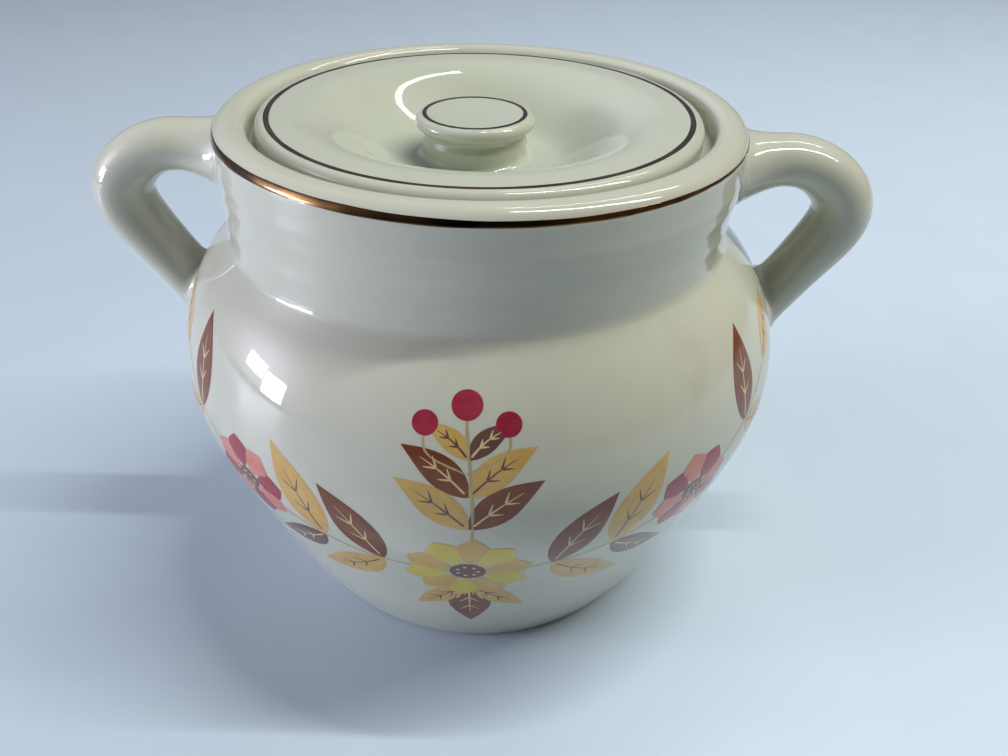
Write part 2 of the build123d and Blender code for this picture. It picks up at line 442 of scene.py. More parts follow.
def neck_rings(height):
    """Three soft rings round the neck: a bell curve in height for each, added together."""
    away = (height[..., None] - (pot_height - neck_ring_drops)) / neck_ring_width
    return neck_ring_rise * np.exp(-away ** 2).sum(axis=-1)


def wall_waver(azimuth, height):
    """The slight unevenness of a cast wall: sine waves round it and up it.

    The waves add up to 2.05 at most, which is taken off, so that the wall is never proud of true.
    """
    slow = np.sin(3 * azimuth + height / 31.0) + 0.7 * np.sin(5 * azimuth - height / 23.0 + 1.3)
    quick = 0.35 * np.sin(9 * azimuth + height / 11.0 + 0.4)
    fade_out = np.clip((pot_height - waver_fade[0] - height) / waver_fade[1], 0, 1)
    fade = np.clip(height / waver_set_in, 0, 1) * fade_out
    return waver_size * (slow + quick - 2.05) * fade


def neck_lean(azimuth, height):
    """The neck was finished by hand a little off the pot's axis, towards the left handle."""
    from_middle = height - neck_lean_height
    reach = np.where(from_middle > 0, *neck_lean_reach)
    return -neck_lean_by * np.cos(azimuth) * bulge(from_middle, reach)


def wall_offset(azimuth, height):
    """All that the outer wall stands out from its plain profile."""
    return neck_rings(height) + wall_waver(azimuth, height) + neck_lean(azimuth, height)


def wall_push(azimuth, height, radius):
    """How far the outer wall stands from its plain profile; the inside stays plain."""
    on_outside = radius > np.interp(height, wall_height, outer[:, 0]) - 0.5 * wall
    return np.where(on_outside, wall_offset(azimuth, height), 0.0)


def wall_radius(azimuth, height):
    """The outer wall's radius at each azimuth and height."""
    return np.interp(height, wall_height, outer[:, 0]) + wall_offset(azimuth, height)


def wall_normal(azimuth, height):
    """The outer wall's outward direction, from how its radius changes with height and azimuth."""
    step, turn = 0.25, 0.002
    radius = wall_radius(azimuth, height)
    climb = (wall_radius(azimuth, height + step) - wall_radius(azimuth, height - step)) / (2 * step)
    drift = wall_radius(azimuth + turn, height) - wall_radius(azimuth - turn, height)
    drift = drift / (2 * turn) / radius
    across = np.stack((np.cos(azimuth), np.sin(azimuth), np.zeros_like(azimuth)), axis=-1)
    along = np.stack((-np.sin(azimuth), np.cos(azimuth), np.zeros_like(azimuth)), axis=-1)
    normal = across - climb[..., None] * np.array((0.0, 0.0, 1.0)) - drift[..., None] * along
    return normal / np.linalg.norm(normal, axis=-1, keepdims=True)


def pot_skin():
    """The whole pot turned from one closed outline."""
    profile = evenly(np.vstack((under_profile(), outer[1:], inner_profile())), pot_row)
    return turned_skin(profile, pot_segments, push=wall_push)


# Handles

def swell(distance, flare):
    """How much of a root's extra size is left at this distance from the wall, 1 down to 0."""
    return np.clip(1 - np.clip(distance, 0, None) / flare, 0, None) ** 2


def bulge(distance, reach):
    """How much of the knuckle's extra size is left at this distance from its middle, 1 down to 0."""
    return np.cos(np.pi / 2 * np.clip(np.abs(distance) / reach, 0, 1)) ** 2


def off_wall(points):
    """Each point's distance from the outer wall, and the wall's direction there."""
    azimuth = np.arctan2(points[..., 1], points[..., 0])
    height = np.clip(points[..., 2], 1.0, pot_height - 1.0)
    normal = wall_normal(azimuth, height)
    flat = np.hypot(points[..., 0], points[..., 1]) - wall_radius(azimuth, height)
    return flat * np.hypot(normal[..., 0], normal[..., 1]), normal


def handle_surface(along, round_angle, side):
    """Points of the plain handle, and its outward direction.

    The middle line is a curve in the plane of the two handles. At each place along it the section
    is a rounded oval across the line: middle + thickness/2 * cos * normal + width/2 * sin * sideways.
    """
    angles = [towards(handle_root_angle), towards(handle_foot_angle)]
    through = [handle_root, handle_top, handle_bend, handle_return, handle_foot]
    line = smooth_line(through, *angles, 600)
    travel = length_along(line)
    aim = np.gradient(line, travel, axis=0)
    aim /= np.linalg.norm(aim, axis=1, keepdims=True)
    at = along * travel[-1]
    x, z, aim_x, aim_z = [np.interp(at, travel, values) for values in (*line.T, *aim.T)]
    at_root = swell(at - handle_buried, root_flare)
    at_foot = swell(travel[-1] - at - handle_buried, foot_flare)
    at_knuckle = bulge(at - knuckle_share * travel[-1], knuckle_reach)
    swells = root_swell * at_root + knuckle_swell * at_knuckle + foot_swell * at_foot
    spreads = root_spread * at_root + knuckle_spread * at_knuckle + foot_spread * at_foot
    half_thick = (grip_thickness + swells) / 2
    half_wide = (grip_width + spreads) / 2
    out, over = np.cos(round_angle), np.sin(round_angle)
    across, up = x - half_thick * out * aim_z, z + half_thick * out * aim_x
    points = np.stack((side * across, half_wide * over, up), axis=-1)
    facing = (-side * aim_z * out / half_thick, over / half_wide, aim_x * out / half_thick)
    facing = np.stack(facing, axis=-1)
    return points, facing / np.linalg.norm(facing, axis=-1, keepdims=True)


def handle_skin(side, rows=150, around=72):
    """A handle whose skin runs into the wall by a hollow round.

    Each line along the handle starts and ends where it meets the wall, with its rows crowded
    towards both ends. Nearer to the wall than the round's radius f, at distance d, a point moves
    sideways along the wall by f - sqrt(f² - (f - d)²).
    """
    round_angle = np.linspace(0, 2 * np.pi, around, endpoint=False)[None, :]
    fine = np.linspace(0, 1, 700)[:, None]
    trial, _ = handle_surface(fine + 0 * round_angle, round_angle + 0 * fine, side)
    clear = off_wall(trial)[0] > 0
    first = fine[np.argmax(clear, axis=0), 0]
    last = fine[len(fine) - 1 - np.argmax(clear[::-1], axis=0), 0]
    crowding = 0.72
    share = np.linspace(0, 1, rows)
    share = (share - crowding * np.sin(2 * np.pi * share) / (2 * np.pi))[:, None]
    along = first + (last - first) * share
    points, facing = handle_surface(along, round_angle + 0 * along, side)
    away, normal = off_wall(points)
    away = np.clip(away, 0, None)
    # The upper root meets the collar in a tight crease, and everything below it in a wide round.
    at_collar = np.clip((points[..., 2] - (pot_height - crease_drop)) / crease_reach, 0, 1)
    size = throat_round + (crease_round - throat_round) * at_collar
    spread = facing - np.sum(facing * normal, axis=-1, keepdims=True) * normal
    spread /= np.linalg.norm(spread, axis=-1, keepdims=True) + 1e-9
    short = np.clip(size - away, 0, None)
    shift = size - np.sqrt(size ** 2 - np.clip(short, 0, size) ** 2)
    points = points + shift[..., None] * spread
    now, normal = off_wall(points)
    points = points + np.where(shift > 0, away - now, 0)[..., None] * normal
    sunk = [points[end] + tuck_along * spread[end] - tuck_in * normal[end] for end in (0, -1)]
    rings = np.concatenate((sunk[0][None], points, sunk[1][None]))
    poles = [ring.mean(axis=0) - np.array((side * tuck_pole, 0, 0)) for ring in (rings[0], rings[-1])]
    return capped(rings, *poles)


# Lid and knob

def lid_skin():
    """The lid turned from one outline: brim, sunken dish, and the locating ring beneath."""
    level = towards(0)
    top_points = np.array((dish_upper, dish_lower))
    beneath = [inside(point, dish_slope, -dish_thickness) for point in top_points[::-1]]
    under_floor = dish_floor - dish_thickness
    root = (ring_inner, brim_under)
    under = smooth_line([(dish_under_radius, under_floor), *beneath, root], level, level, 40)
    base = [
        np.array(root),
        np.array((ring_inner, ring_bottom)),
        np.array((ring_outer, ring_bottom)),
        np.array((ring_outer, brim_under)),
        np.array((lid_radius, brim_under)),
        np.array((lid_radius, brim_height)),
        np.array((brim_inner, brim_height)),
    ]
    rounds = (ring_round, ring_round, ring_crease_round, brim_under_round, brim_edge_round)
    edge = np.vstack([corner(*base[i:i + 3], radius, 9) for i, radius in enumerate(rounds)])
    through = [base[-1], *top_points, (dish_floor_radius, dish_floor)]
    dish = smooth_line(through, -level, -level, 80)
    profile = np.vstack(((0.0, under_floor), under, edge, dish, (0.0, dish_floor)))
    return turned_skin(evenly(profile, lid_row), pot_segments, lid_centre)


def boss_skin():
    """The boss turned from one outline: a short post that runs out into the dish by a hollow round."""
    toe = stem_radius + boss_round
    flare = arc((toe, dish_floor + boss_round), boss_round, 270, -90, 12)
    sunk = dish_floor - boss_sunk
    foot = np.array(((0.0, sunk), (toe - 0.4, sunk), (toe, dish_floor - 0.02)))
    top = np.array(((stem_radius, boss_top), (0.0, boss_top)))
    return turned_skin(np.vstack((foot, flare, top)), knob_segments, knob_centre)


def knob_skin():
    """The knob turned from one outline: waisted stem and a round-edged button, a little hollow on top."""
    half = button_height / 2
    under_button = knob_top - button_height
    edge_centre = (button_radius - half, knob_top - half)
    through = [
        (stem_radius, under_button - stem_drop),
        (waist_radius, under_button - waist_drop),
        (edge_centre[0], under_button),
    ]
    waist = smooth_line(through, towards(90), towards(0), 30)
    edge = arc(edge_centre, half, -90, 180, 18)
    hollow = smooth_line([edge[-1], (0.0, knob_top - button_hollow)], towards(180), towards(180), 16)
    foot = np.array(((0.0, boss_top), (stem_radius, boss_top)))
    profile = evenly(np.vstack((foot, waist, edge, hollow[1:])), knob_row)
    return turned_skin(profile, knob_segments, knob_centre)


# Gilt lines

def line_waver(azimuth, phase):
    """How a banded line's half width wanders as the pot turns under the brush."""
    slow = np.sin(2 * azimuth + phase) + 0.6 * np.sin(7 * azimuth + 2.1 * phase)
    return 0.05 * slow + 0.035 * np.sin(23 * azimuth + 3.7 * phase)


def line_skin(centre_x, azimuths, place, phase, half_width):
    """A thin gilt line: a flattened oval of film carried round a circle.

    place takes the azimuth, how far across the line a point lies and how far off the glaze, and
    gives its radius and height. How far across is in the same unit as half_width: millimetres for
    the level lines, and shares of the line's half width for the rim's.
    """
    azimuth = np.linspace(0, 2 * np.pi, azimuths, endpoint=False)[:, None]
    round_angle = np.linspace(0, 2 * np.pi, 12, endpoint=False)[None, :]
    across = (half_width + line_waver(azimuth, phase)) * np.cos(round_angle)
    off = gilt_lift + gilt_thickness / 2 * flattened(round_angle, 0.35) + 0 * azimuth
    radius, height = place(azimuth, across, off)
    rings = (centre_x + radius * np.cos(azimuth), radius * np.sin(azimuth), height + 0 * azimuth)
    return looped(np.stack(rings, axis=-1))


def near_azimuth(azimuth, middle, spread):
    """A bell curve round the rim: 1 at the middle azimuth, falling away over spread, both in degrees."""
    apart = np.angle(np.exp(1j * (azimuth - radians(middle))))
    return np.exp(-(apart / radians(spread)) ** 2)


def rim_line_skin():
    """The line on the rim's outer rounding, by the CAD band's edges.

    It was banded by hand: its edges climb towards the left, where the brush was fullest, and its
    lower edge has worn away on the right.
    """
    centre = (collar[0] - rim_outer_round, pot_height - rim_outer_round)
    edges = (rim_line_low[2], rim_line_high[2])
    low, high = [np.arcsin((edge - centre[1]) / rim_outer_round) for edge in edges]

    def place(azimuth, across, off):
        full = near_azimuth(azimuth, *rim_full)
        worn = near_azimuth(azimuth, *rim_worn)
        ragged = 0.12 * np.sin(41 * azimuth) * np.sin(17 * azimuth + 1.0)
        lower = low * rim_outer_round + rim_full_climb[0] * full + worn * (rim_worn_loss + ragged)
        upper = high * rim_outer_round + rim_full_climb[1] * full - rim_worn_drop * worn
        aim = ((lower + upper) + (upper - lower) * across) / 2 / rim_outer_round
        reach = rim_outer_round + off
        return centre[0] + reach * np.cos(aim), centre[1] + reach * np.sin(aim)

    return line_skin(0.0, 720, place, 0.6, 1.0)


def flat_line_skin(low, high, width, glaze_height, phase):
    """A line on a level face, whose outer edge is the CAD ring's."""
    middle = (high[0] - low[0]) / 2 - width / 2
    centre = (high[0] + low[0]) / 2

    def place(azimuth, across, off):
        return middle + across, glaze_height + off

    return line_skin(centre, 384, place, phase, width / 2)


# Print on the belly

def on_wall(azimuth, along, lift):
    """Points on the outer wall, found by azimuth and by length up the outline, and lifted off it."""
    height = np.interp(along, wall_along, wall_height)
    radius = wall_radius(azimuth, height)
    place = np.stack((radius * np.cos(azimuth), radius * np.sin(azimuth), height), axis=-1)
    return place + lift[..., None] * wall_normal(azimuth, height)


def length_at(height):
    """How far up the outline a height on the wall lies."""
    return np.interp(height, wall_height, wall_along)


def printed(azimuth, along, over, layer):
    """A closed skin of print from rings of points on the wall.

    over is how many half thicknesses each point stands off the print's middle. The first and the
    last ring shrink to the poles.
    """
    lift = print_lift * layer + print_thickness / 2 * over + 0 * along
    rings = on_wall(azimuth, along, lift)
    return capped(rings[1:-1], rings[0].mean(axis=0), rings[-1].mean(axis=0))


def film(azimuth, height, centre, half_across, layer, around=16):
    """One thin closed patch of print.

    centre holds the points of its middle line and half_across the steps from there to its edge,
    both in millimetres along the wall from an anchor at azimuth (degrees) and height. Each ring
    goes out along one face and back along the other: centre + half_across * cos, lifted by sin.
    """
    angle = np.linspace(0, 2 * np.pi, around, endpoint=False)
    across, up = [centre[:, axis, None] + half_across[:, axis, None] * np.cos(angle) for axis in (0, 1)]
    along = length_at(height) + up
    radius = np.interp(np.interp(along, wall_along, wall_height), wall_height, outer[:, 0])
    return printed(radians(azimuth) + across / radius, along, flattened(angle, 0.3), layer)


def rotated(points, heading):
    """Plane points turned by heading, in degrees from straight right."""
    turn = radians(heading)
    step = np.array(((np.cos(turn), np.sin(turn)), (-np.sin(turn), np.cos(turn))))
    return points @ step


def leaf_outline(length, width, curl, rows, fullness=0.8):
    """A leaf's middle line, a shallow arc, and its half width: a half sine, fullest before the middle."""
    share = np.linspace(0, 1, rows)
    middle = np.column_stack((length * share, curl * np.sin(np.pi * share)))
    half = width / 2 * np.sin(np.pi * share ** fullness)
    return middle, half[:, None] * sideways(middle)


def leaf(azimuth, height, heading, length, width, curl=0.0, layer=1, offset=(0.0, 0.0), fullness=0.8):
    """A pointed leaf that starts at its anchor and runs along heading."""
    middle, half = leaf_outline(length, width, curl, leaf_rows, fullness)
    centre = rotated(middle, heading) + np.array(offset)
    return film(azimuth, height, centre, rotated(half, heading), layer)


def midrib(azimuth, height, heading, length, curl, layer=2, offset=(0.0, 0.0)):
    """A leaf's midrib: the leaf's middle line, drawn as a thin tapering stroke."""
    middle, _ = leaf_outline(length, 1.0, curl, leaf_rows)
    inner = middle[2:27]
    share = np.linspace(0, 1, len(inner))
    taper = rib_half_width * (1 - share) ** 0.5 * np.sin(np.pi * np.clip(share * 12, 0, 0.5))
    half = rotated(taper[:, None] * sideways(inner), heading)
    return film(azimuth, height, rotated(inner, heading) + np.array(offset), half, layer, 10)


def disc(azimuth, height, radius, layer=1, offset=(0.0, 0.0), rows=20):
    """A round dot of print: the middle line runs across it and the half width follows its circle."""
    share = np.cos(np.linspace(np.pi, 0, rows))
    centre = np.column_stack((radius * share, np.zeros(rows))) + np.array(offset)
    half = np.column_stack((np.zeros(rows), radius * np.sqrt(np.clip(1 - share ** 2, 0, 1))))
    return film(azimuth, height, centre, half, layer)


def stroke(azimuths, heights, width, layer=1, rows=90):
    """A stem: a smooth line through points given by azimuth (degrees) and height, thin at both ends."""
    middle = (azimuths[0] + azimuths[-1]) / 2
    across = np.radians(np.array(azimuths, float) - middle) * belly_radius
    knots = np.column_stack((across, length_at(np.array(heights, float))))
    ends = [knots[1] - knots[0], knots[-1] - knots[-2]]
    line = smooth_line(knots, *[end / np.linalg.norm(end) for end in ends], rows)
    taper = np.sin(np.pi * np.linspace(0, 1, rows)) ** 0.25 * width / 2
    half = taper[:, None] * sideways(line)
    angle = np.linspace(0, 2 * np.pi, 10, endpoint=False)
    x, y = [line[:, axis, None] + half[:, axis, None] * np.cos(angle) for axis in (0, 1)]
    return printed(radians(middle) + x / belly_radius, y, flattened(angle, 0.3), layer)


# The print is a generic garland: a hanging swag of broad leaves and daisies, and an upright spray.
print_lift = 0.02
print_thickness = 0.04
front = -90.0
swag_half_spread = 64.0
swag_low = 70.0
swag_rise = 44.0
spray_top = 127.0
stem_width = 1.1
# Berry stems: width, and how far below the berry they leave the spray's stem and turn upright
berry_stem_width = 0.8
berry_stem_drops = (13, 6)
# Leaves: width and midrib as shares of the length, rows of points, and a midrib's half width
leaf_width = 0.4
rib_length = 0.97
leaf_rows = 34
rib_half_width = 0.36
# Side veins: where they leave the midrib and how long they are, as shares of the leaf's length, and
# their angle from the midrib in degrees
vein_shares = (0.3, 0.52)
vein_length = 0.2
vein_angle = 36
# Leaves' angle in degrees and curl in millimetres: the swag's upper and lower ones from its stem,
# and the spray's from level. Then the length of the leaf at each tip of the swag.
swag_upper = (50, 2.0)
swag_lower = (46, 1.8)
spray_splay = (38, 1.4)
swag_tip_length = 27
# Petals: the first one's heading in degrees, their width as a share of the radius over their number,
# and the power that moves their widest place out past the middle
petal_turn = 11
petal_width = 5.4
petal_fullness = 1.35
# Daisies, as shares of the heart's radius: where petals start, the seed dots' ring, and a dot's radius
petal_start = 0.75
seed_ring = 0.58
seed_dot = 0.11
seeds = 7
ink_names = ("stem", "russet", "mustard", "lemon", "rose", "crimson", "cream", "umber")
rib_ink = {"russet": "cream", "mustard": "umber", "umber": "cream"}

# Leaf pairs on each half of the swag: degrees from the front, then the upper and the lower leaf's
# colour and length.
swag_leaves = (
    (14.5, "russet", 35.0, "mustard", 34.0),
    (25.0, "mustard", 37.0, "umber", 29.0),
    (54.0, "russet", 33.0, "mustard", 29.0),
)
# Daisies: degrees from the front, petals, radius, petal colours in turn, and the heart's radius.
daisies = (
    (0.0, 10, 20.5, ("mustard", "lemon"), 5.6),
    (-40.5, 8, 16.5, ("crimson", "rose"), 4.4),
    (40.5, 8, 16.5, ("rose", "crimson"), 4.4),
)
# Leaf pairs on the spray: height, length, and the colours of the left and right leaf.
spray_leaves = (
    (94.0, 27.0, "mustard", "russet"),
    (106.0, 24.0, "russet", "mustard"),
    (117.0, 16.0, "mustard", "umber"),
)
# Berries at the spray's tip: degrees from the front, height and radius.
berries = ((0.0, 130.5, 4.3), (-6.5, 126.0, 3.6), (6.5, 126.0, 3.6))
# Leaves that hang under the middle daisy: heading in degrees, length and colour.
hanging_leaves = ((-90.0, 36.0, "russet"), (-48.0, 27.0, "mustard"), (-132.0, 27.0, "mustard"))


def swag_height(azimuth):
    """The swag's height: lowest in the middle and rising with the square of the way to its ends."""
    return swag_low + swag_rise * ((azimuth - front) / swag_half_spread) ** 2


def swag_heading(azimuth):
    """Which way the swag's stem runs on the wall at an azimuth, outwards from the middle, in degrees."""
    climb = 2 * swag_rise * abs(azimuth - front) / swag_half_spread ** 2
    slope = np.degrees(np.arctan2(climb, radians(1) * belly_radius))
    return slope if azimuth >= front else 180 - slope


def add_leaf(ink, azimuth, height, heading, length, colour, curl=0.0):
    """A leaf with its midrib and two pairs of side veins."""
    rib = ink[rib_ink[colour]]
    ink[colour].append(leaf(azimuth, height, heading, length, leaf_width * length, curl))
    rib.append(midrib(azimuth, height, heading, rib_length * length, curl))
    for share in vein_shares:
        root = rotated(np.array((share * length, curl * np.sin(np.pi * share))), heading)
        for way in (-1, 1):
            turn = heading + vein_angle * way
            rib.append(midrib(azimuth, height, turn, vein_length * length, 0.0, 2, root))


def add_daisy(ink, azimuth, height, petals, radius, colours, heart):
    """A daisy: round-ended petals spaced evenly round a dark heart with a ring of seed dots."""
    for petal in range(petals):
        heading = 360 * petal / petals + petal_turn
        start = petal_start * heart * towards(heading)
        length, width = radius - petal_start * heart, petal_width * radius / petals
        skin = leaf(azimuth, height, heading, length, width, 0.0, 3, start, petal_fullness)
        ink[colours[petal % len(colours)]].append(skin)
    ink["umber"].append(disc(azimuth, height, heart, 4))
    for seed in range(seeds):
        place = seed_ring * heart * towards(360 * seed / seeds)
        ink["cream"].append(disc(azimuth, height, seed_dot * heart, 5, place, 8))


def add_spray(ink):
    """An upright spray of leaf pairs and berries over the middle daisy, and leaves hanging below it."""
    stem = np.array((front, front + 1.0, front))
    ink["stem"].append(stroke(stem, np.array((swag_low, 98.0, spray_top)), stem_width))
    angle, curl = spray_splay
    for height, length, left, right in spray_leaves:
        add_leaf(ink, front + 0.4, height, 180 - angle, length, left, -curl)
        add_leaf(ink, front + 0.4, height, angle, length, right, curl)
    for away, height, radius in berries:
        at = front + away
        climb = np.array((height - berry_stem_drops[0], height - berry_stem_drops[1], height))
        ink["stem"].append(stroke(np.array((front, at, at)), climb, berry_stem_width))
        ink["crimson"].append(disc(at, height, radius, 2))
    for heading, length, colour in hanging_leaves:
        add_leaf(ink, front, swag_low - 12, heading, length, colour)


def garland():
    """All the print, sorted by colour: {colour: skins}."""
    ink = {colour: [] for colour in ink_names}
    for way in (-1, 1):
        reach = front + way * np.array((2.0, 16.0, 32.0, 48.0, swag_half_spread))
        ink["stem"].append(stroke(reach, swag_height(reach), stem_width))
        for away, upper, upper_length, lower, lower_length in swag_leaves:
            at = front + way * away
            heading = swag_heading(at)
            turn, curl = swag_upper
            add_leaf(ink, at, swag_height(at), heading + turn * way, upper_length, upper, curl * way)
            turn, curl = swag_lower
            add_leaf(ink, at, swag_height(at), heading - turn * way, lower_length, lower, -curl * way)
        tip = front + way * swag_half_spread
        add_leaf(ink, tip, swag_height(tip), swag_heading(tip), swag_tip_length, "mustard")
    for away, petals, radius, colours, heart in daisies:
        at = front + away
        add_daisy(ink, at, swag_height(at), petals, radius, colours, heart)
    add_spray(ink)
    return ink


# Materials

def linear(hex_colour):
    """An sRGB hex colour as linear red, green, blue and alpha."""
    srgb = np.array([int(hex_colour[i:i + 2], 16) / 255 for i in (1, 3, 5)])
    low, high = srgb / 12.92, ((srgb + 0.055) / 1.055) ** 2.4
    return (*np.where(srgb <= 0.04045, low, high), 1.0)


def per(size):
    """A texture's scale for features of this size in millimetres, in object coordinates."""
    return 1 / (size * MM)


def new_finish(name):
    """An empty node material, with its shader and the object coordinates that its patterns use."""
    finish = bpy.data.materials.new(name)
    finish.use_nodes = True
    tree = finish.node_tree
    shader = tree.nodes["Principled BSDF"]
    place = tree.nodes.new("ShaderNodeTexCoord").outputs["Object"]
    return finish, tree, shader, place


def add_node(tree, kind, inputs, **settings):
    """Adds a node, sets its properties, and fills its inputs with values or with other nodes' outputs."""
    node = tree.nodes.new(kind)
    for name, value in settings.items():
        setattr(node, name, value)
    for socket, value in inputs.items():
        if isinstance(value, bpy.types.NodeSocket):
            tree.links.new(value, node.inputs[socket])
        else:
            node.inputs[socket].default_value = value
    return node


def ivory_glaze(name, base, pooled, stain_share):
    """Ivory gloss glaze, dipped and fired over stoneware: glassy, with slow drifts of tone, a few
    iron specks, faint brown stains from use, and the gentle orange-peel of a melted glaze."""
    finish, tree, shader, place = new_finish(name)
    drift = add_node(tree, "ShaderNodeTexNoise", {"Vector": place, "Scale": per(38), "Detail": 3.0})
    tone = add_node(
        tree, "ShaderNodeMix", {"Factor": drift.outputs["Fac"], 6: linear(base), 7: linear(pooled)},
        data_type="RGBA",
    )
    # Iron specks: one cell in seven, 5 mm across, holds a dot of up to 0.7 mm across.
    cell = 5.0
    speck_radius = 0.35
    specks = add_node(tree, "ShaderNodeTexVoronoi", {"Vector": place, "Scale": per(cell)})
    chosen = add_node(tree, "ShaderNodeSeparateColor", {"Color": specks.outputs["Color"]})
    size = add_node(
        tree, "ShaderNodeMapRange",
        {
            "Value": chosen.outputs["Red"],
            "From Min": 0.86, "From Max": 1.0,
            "To Min": 0.0, "To Max": speck_radius / cell,
        },
    )
    dot = add_node(
        tree, "ShaderNodeMath", {0: size.outputs["Result"], 1: specks.outputs["Distance"]},
        operation="SUBTRACT",
    )
    dot = add_node(
        tree, "ShaderNodeMapRange",
        {"Value": dot.outputs[0], "From Min": 0.0, "From Max": 0.02, "To Min": 0.0, "To Max": 0.6},
    )
    specked = add_node(
        tree, "ShaderNodeMix", {"Factor": dot.outputs["Result"], 6: tone.outputs[2], 7: linear("#5E5140")},
        data_type="RGBA",
    )
    # Stains: ragged patches where two noises both run high.
    broad = add_node(
        tree, "ShaderNodeTexNoise",
        {"Vector": place, "Scale": per(30), "Detail": 6.0, "Roughness": 0.62},
    )
    patch = add_node(
        tree, "ShaderNodeMapRange",
        {
            "Value": broad.outputs["Fac"],
            "From Min": 0.56, "From Max": 0.74,
            "To Min": 0.0, "To Max": stain_share,
        },
    )
    stained = add_node(
        tree, "ShaderNodeMix",
        {"Factor": patch.outputs["Result"], 6: specked.outputs[2], 7: linear("#A19D8C")},
        data_type="RGBA",
    )
    tree.links.new(stained.outputs[2], shader.inputs["Base Color"])
    wear = add_node(
        tree, "ShaderNodeMapRange",
        {"Value": broad.outputs["Fac"], "From Min": 0.3, "From Max": 0.8, "To Min": 0.03, "To Max": 0.09},
    )
    tree.links.new(wear.outputs["Result"], shader.inputs["Roughness"])
    peel = add_node(tree, "ShaderNodeTexNoise", {"Vector": place, "Scale": per(7), "Detail": 2.0})
    bump = add_node(
        tree, "ShaderNodeBump", {"Height": peel.outputs["Fac"], "Strength": 0.35, "Distance": 0.06 * MM},
    )
    tree.links.new(bump.outputs["Normal"], shader.inputs["Normal"])
    shader.inputs["IOR"].default_value = 1.5
    return finish


def bare_stoneware():
    """Unglazed stoneware, wiped clean and fired: buff, dry and sandy, where the foot ring stands."""
    finish, tree, shader, place = new_finish("bare_stoneware")
    sand = add_node(tree, "ShaderNodeTexNoise", {"Vector": place, "Scale": per(1.2), "Detail": 5.0})
    tone = add_node(
        tree, "ShaderNodeMix", {"Factor": sand.outputs["Fac"], 6: linear("#B9A88A"), 7: linear("#8F7D62")},
        data_type="RGBA",
    )
    tree.links.new(tone.outputs[2], shader.inputs["Base Color"])
    bump = add_node(
        tree, "ShaderNodeBump", {"Height": sand.outputs["Fac"], "Strength": 0.6, "Distance": 0.1 * MM},
    )
    tree.links.new(bump.outputs["Normal"], shader.inputs["Normal"])
    shader.inputs["Roughness"].default_value = 0.85
    return finish


def fired_gilt():
    """Liquid bright gold, brushed on and fired, then worn: a dark bronze metal film that flashes gold."""
    finish, tree, shader, place = new_finish("fired_gilt")
    wear = add_node(
        tree, "ShaderNodeTexNoise",
        {"Vector": place, "Scale": per(16), "Detail": 5.0, "Roughness": 0.6},
    )
    tone = add_node(tree, "ShaderNodeValToRGB", {"Fac": wear.outputs["Fac"]})
    ramp = tone.color_ramp
    ramp.elements[0].position = 0.35
    ramp.elements[0].color = linear("#40342A")
    ramp.elements[1].position = 0.72
    ramp.elements[1].color = linear("#8E6C42")
    tree.links.new(tone.outputs["Color"], shader.inputs["Base Color"])
    shader.inputs["Metallic"].default_value = 1.0
    gloss = add_node(
        tree, "ShaderNodeMapRange",
        {"Value": wear.outputs["Fac"], "From Min": 0.3, "From Max": 0.7, "To Min": 0.1, "To Max": 0.2},
    )
    tree.links.new(gloss.outputs["Result"], shader.inputs["Roughness"])
    return finish


def print_ink(name, strong, faded):
    """Ceramic transfer print fired under the gloss: flat colour, a little uneven where the ink lay thin."""
    finish, tree, shader, place = new_finish(name)
    lay = add_node(
        tree, "ShaderNodeTexNoise",
        {"Vector": place, "Scale": per(9), "Detail": 6.0, "Roughness": 0.65},
    )
    share = add_node(
        tree, "ShaderNodeMapRange",
        {"Value": lay.outputs["Fac"], "From Min": 0.35, "From Max": 0.7, "To Min": 0.0, "To Max": 1.0},
    )
    tone = add_node(
        tree, "ShaderNodeMix", {"Factor": share.outputs["Result"], 6: linear(strong), 7: linear(faded)},
        data_type="RGBA",
    )
    tree.links.new(tone.outputs[2], shader.inputs["Base Color"])
    shader.inputs["Roughness"].default_value = 0.12
    return finish


def pale_table():
    """Pale laminate: satin, cool white, with the faint mottle of its print."""
    finish, tree, shader, place = new_finish("pale_table")
    mottle = add_node(tree, "ShaderNodeTexNoise", {"Vector": place, "Scale": per(60), "Detail": 4.0})
    tone = add_node(
        tree, "ShaderNodeMix",
        {"Factor": mottle.outputs["Fac"], 6: linear("#C2D2E0"), 7: linear("#BBCBDA")},
        data_type="RGBA",
    )
    tree.links.new(tone.outputs[2], shader.inputs["Base Color"])
    shader.inputs["Roughness"].default_value = 0.42
    return finish


# The pieces

pot_glaze = ivory_glaze("ivory_glaze_pot", "#C3C5B5", "#BABDAA", 0.28)
lid_glaze = ivory_glaze("ivory_glaze_lid", "#BFC4B5", "#B7BEA9", 0.28)
gilt = fired_gilt()

pot = add_piece("pot_body_glazed", [pot_skin()], "pot", pot_glaze, ["pot_body"])
pot.data.materials.append(bare_stoneware())
centres = np.zeros(len(pot.data.polygons) * 3)
pot.data.polygons.foreach_get("center", centres)
bare_height = 0.2
standing = (centres[2::3] < bare_height * MM).astype(np.int32)
pot.data.polygons.foreach_set("material_index", standing)

for name, side in (("handle_left", -1), ("handle_right", 1)):
    add_piece(f"{name}_glazed", [handle_skin(side)], "pot", pot_glaze, [name])

